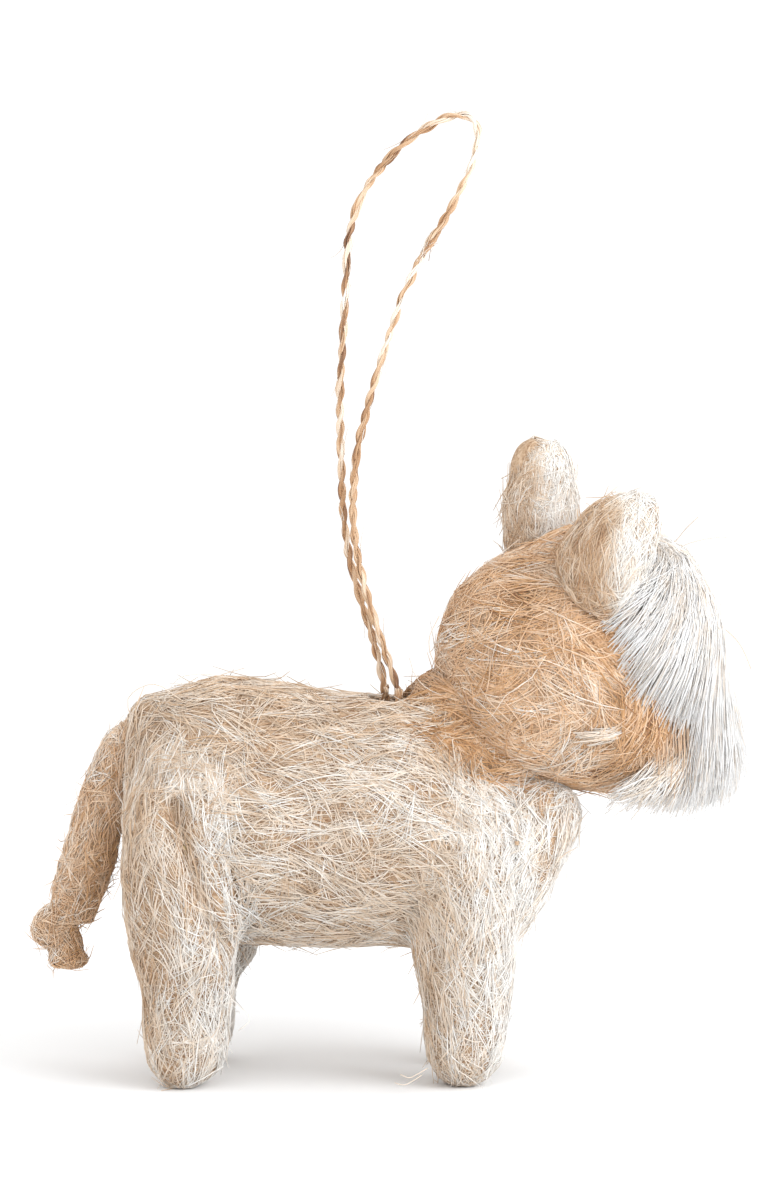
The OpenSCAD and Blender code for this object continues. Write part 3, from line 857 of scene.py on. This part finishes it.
def fringe_hair(rng, count=2600):
    """Browner strands behind the forelock that show under its cut edge."""
    tip = rng.uniform(-96, 88, count)
    side = np.abs(tip)
    start = hair_height(rng.uniform(-5, 4, count))
    up = rng.uniform(np.interp(side, (70, 100), (-20, -14)), -8)
    brown = np.interp(side, (66, 74, 84, 96), (0.95, 0.72, 0.6, 0.55))
    deep = np.interp(side, (60, 106), (1.2, 2.5)) + 3 * rng.random(count)
    return hair("face_fringe_hair", rng, np.radians(tip * 0.95), np.radians(tip), start,
                hair_height(up), deep, 0.8, rng.normal(0, 0.09, count) + brown, wave=0.5)


def beard_hair(rng, count=4300):
    """A fan from the mouth to the throat, cut on a slant that is lowest off the middle."""
    tip = rng.uniform(-104, 104, count)
    side = np.abs(tip)
    root = np.interp(side, (0, 60, 80, 100), (-4, -6, -10.5, -15))
    start = hair_height(root + rng.normal(0, 1.5, count))
    cut = np.interp(side, (0, 35, 60, 85, 100), (-20, -21, -21.5, -19.5, -18.5))
    up = cut + rng.normal(0, 0.9, count)
    tone = np.interp(side, (60, 80, 100), (0.96, 0.9, 0.84)) + rng.normal(0, 0.08, count)
    return hair("beard_hair", rng, np.radians(tip * 0.86), np.radians(tip), start, hair_height(up),
                9 * rng.random(count) ** 1.2, 0.74, tone)


def make_face_hair(mat, fibre, warm):
    """Each bunch is loose strands over a packed mat."""
    for node, make, seed, kind in (("forelock", forelock_hair, 51, fibre),
                                   ("face_fringe", fringe_hair, 52, warm),
                                   ("beard", beard_hair, 53, fibre)):
        core = swell(solid_skin(node + "_core", [node], 0.7 * MM, 6), -1.3 * MM, 0.3 * MM, 0.1 * MM)
        under = link(node + "_mat", core, mat)
        under.data.shade_smooth()
        over = link(node + "_hair", make(np.random.default_rng(seed)), kind)
        for piece in (under, over):
            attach(piece, "goat")
        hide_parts(node)


def make_mouth_lock(fibre):
    """A flat lock laid along the mouth."""
    rng = np.random.default_rng(61)
    n, m = 150, 7
    t = np.linspace(0, 1, m)[None, :, None]
    start = np.array((-3.5, -19.0, -8.6)) + rng.normal(0, 1, (n, 1, 3)) * (1.4, 0.2, 0.6)
    end = np.array((4.6, -18.6, -6.2)) + rng.normal(0, 1, (n, 1, 3)) * (2.4, 0.25, 0.8)
    paths = start + (end - start) * t
    paths[:, :, 1] -= 1.5 * np.sin(math.pi * t[..., 0])
    paths[:, :, 2] -= 0.5 * np.sin(math.pi * t[..., 0])
    paths = paths * MM @ HEAD_TURN.T + HEAD_AT
    radii = np.full((n, m), 0.1 * MM) * rng.uniform(0.7, 1.3, (n, 1))
    tones = np.clip(rng.normal(0.76, 0.12, (n, 1)) + np.zeros((n, m)), 0, 1)
    piece = link("mouth_lock_hair", strand_mesh("mouth_lock_hair", paths, radii, tones), fibre)
    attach(piece, "goat")
    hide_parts("mouth_lock")


def make_strays(material):
    """Single long fibres that stand off the coat: rump, thigh, nape, brow, face, near feet."""
    rng = np.random.default_rng(71)
    steps = 12
    shapes = (((-44, -4, 60.5), (-44.5, -5, 65), (-40, -7, 67.4), (-35, -8, 64.5)),
              ((-39, -6, 63.5), (-36, -8, 68.4), (-31, -9, 69.2), (-26, -10, 68.6)),
              ((-41, -20.5, 41), (-39, -23.5, 37), (-36.5, -24.5, 31), (-33, -24.8, 30)),
              ((-38, -23, 37), (-33, -25, 32.5), (-29, -24, 31), (-25, -23, 30.5)),
              ((-42.5, -19, 40), (-40.5, -22, 35), (-39.5, -23, 30.5), (-36, -24.5, 28.5)),
              ((10.5, -5, 68), (7.2, -6, 71), (6.3, -7, 75), (8, -8, 79)),
              ((11.5, -6, 64.5), (6.5, -8, 66.5), (4, -9, 69), (3, -9, 72)),
              ((45, 9, 87.5), (48.5, 8, 90.5), (50.5, 7, 93), (52.5, 6, 95)),
              ((45, 8, 87), (50, 7, 90), (54.5, 6, 91.3), (58.7, 5, 91.6)),
              ((54, 9, 78), (58.5, 7.5, 74.5), (60.3, 6, 72), (61.5, 5, 69)),
              ((-30, -18, 19), (-26, -21, 15.5), (-23.5, -22, 13), (-25.5, -22, 11)),
              ((5, -19, 3), (3.5, -20, 2.2), (2, -20.5, 1.6), (0.5, -20, 1.9)),
              ((6, -18, 4), (4, -20, 3.2), (2.8, -20.5, 2.8), (1.4, -20.3, 3.4)))
    paths = []
    for shape in shapes:
        line, _ = smooth_line(TRUNK + MM * np.array(shape), 0.2 * MM)
        paths.append(line[np.linspace(0, len(line) - 1, steps).astype(int)])
    paths = np.array(paths)
    radii = np.full(paths.shape[:2], 0.085 * MM)
    tones = np.repeat(rng.uniform(0.6, 0.95, (len(paths), 1)), steps, axis=1)
    piece = link("stray_fibres", strand_mesh("stray_fibres", paths, radii, tones), material)
    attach(piece, "goat")


# ---------------------------------------------------------------- inner parts

def dress_inner(straw, thread, metal):
    """Better materials for the CAD pieces that stay as they are."""
    for name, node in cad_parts.items():
        if name.endswith("_wire"):
            kind = metal
        elif name.startswith("core_binding"):
            kind = thread
        elif name.endswith("_core"):
            kind = straw
        else:
            continue
        node.data.materials.clear()
        node.data.materials.append(kind)


# ---------------------------------------------------------------- studio

def make_studio():
    """Pale floor that fades out round the object, an even world and three soft lights."""
    size = 3.0
    fade_from, fade_to = 0.25, 1.4
    mesh = bpy.data.meshes.new("floor")
    mesh.from_pydata([(-size, -size, 0), (size, -size, 0), (size, size, 0), (-size, size, 0)], [],
                     [(0, 1, 2, 3)])
    material, nodes, links, shader = new_material("floor")
    shader.inputs["Base Color"].default_value = (0.93, 0.93, 0.93, 1)
    shader.inputs["Roughness"].default_value = 0.9
    where = nodes.new("ShaderNodeTexCoord")
    length = nodes.new("ShaderNodeVectorMath")
    length.operation = "LENGTH"
    fade = nodes.new("ShaderNodeMapRange")
    fade.inputs["From Min"].default_value = fade_from
    fade.inputs["From Max"].default_value = fade_to
    fade.interpolation_type = "SMOOTHSTEP"
    clear = nodes.new("ShaderNodeBsdfTransparent")
    mix = nodes.new("ShaderNodeMixShader")
    output = next(n for n in nodes if n.type == "OUTPUT_MATERIAL")
    links.new(where.outputs["Object"], length.inputs[0])
    links.new(length.outputs["Value"], fade.inputs["Value"])
    links.new(fade.outputs["Result"], mix.inputs["Fac"])
    links.new(shader.outputs[0], mix.inputs[1])
    links.new(clear.outputs[0], mix.inputs[2])
    links.new(mix.outputs[0], output.inputs["Surface"])
    floor = link("floor", mesh, material)

    world = bpy.data.worlds.new("studio")
    world.use_nodes = True
    background = next(n for n in world.node_tree.nodes if n.type == "BACKGROUND")
    background.inputs["Color"].default_value = (1, 1, 1, 1)
    background.inputs["Strength"].default_value = 1.12
    bpy.context.scene.world = world
    bpy.context.scene.view_settings.view_transform = "Standard"

    middle = Vector((0, 0, 0.06))
    for name, place, watts, width in (("key", (0.44, -0.32, 0.36), 2.6, 0.45),
                                      ("fill", (-0.2, -0.7, 0.4), 0.6, 0.5),
                                      ("low", (-0.1, -0.6, 0.06), 0.5, 0.4)):
        data = bpy.data.lights.new(name, "AREA")
        data.energy = watts
        data.size = width
        data.color = (0.92, 0.96, 1.0)
        lamp = bpy.data.objects.new(name, data)
        lamp.location = place
        lamp.rotation_euler = (middle - Vector(place)).to_track_quat("-Z", "Y").to_euler()
        bpy.context.scene.collection.objects.link(lamp)


# ---------------------------------------------------------------- build

make_camera()
TWINE = fibre_material("twine_fibre")
make_twine(TWINE)
make_hitch(TWINE)

# The mats under the loose fibres are coloured darker than the fibres: painted shade beneath them
UNDER = mat_material("packed_fibre", (0.26, 0.14, 0.07), (0.52, 0.36, 0.23), (0.72, 0.57, 0.43))
UNDER_PALE = mat_material("packed_pale_fibre", (0.50, 0.39, 0.29), (0.70, 0.61, 0.52),
                          (0.82, 0.78, 0.73))
STRAW = mat_material("pressed_straw", (0.30, 0.18, 0.06), (0.62, 0.46, 0.22), (0.82, 0.70, 0.42))
THREAD = mat_material("wound_thread", (0.20, 0.12, 0.06), (0.45, 0.33, 0.20), (0.62, 0.50, 0.34))
WIRE = metal_material("bent_wire")

HEAD_FIBRE = fibre_material("head_fibre", WARM_COLOURS)
make_body(UNDER, fibre_material("body_fibre"), HEAD_FIBRE)
make_head(UNDER, HEAD_FIBRE)
make_tail(UNDER, fibre_material("tail_fibre", WARM_COLOURS))
make_ears(UNDER, fibre_material("ear_fibre"))
PALE = fibre_material("pale_hair", FIBRE_COLOURS[:4] + ((1.0, (0.87, 0.86, 0.85)),))
make_face_hair(UNDER_PALE, PALE, HEAD_FIBRE)
make_mouth_lock(PALE)
make_strays(PALE)
dress_inner(STRAW, THREAD, WIRE)
make_studio()
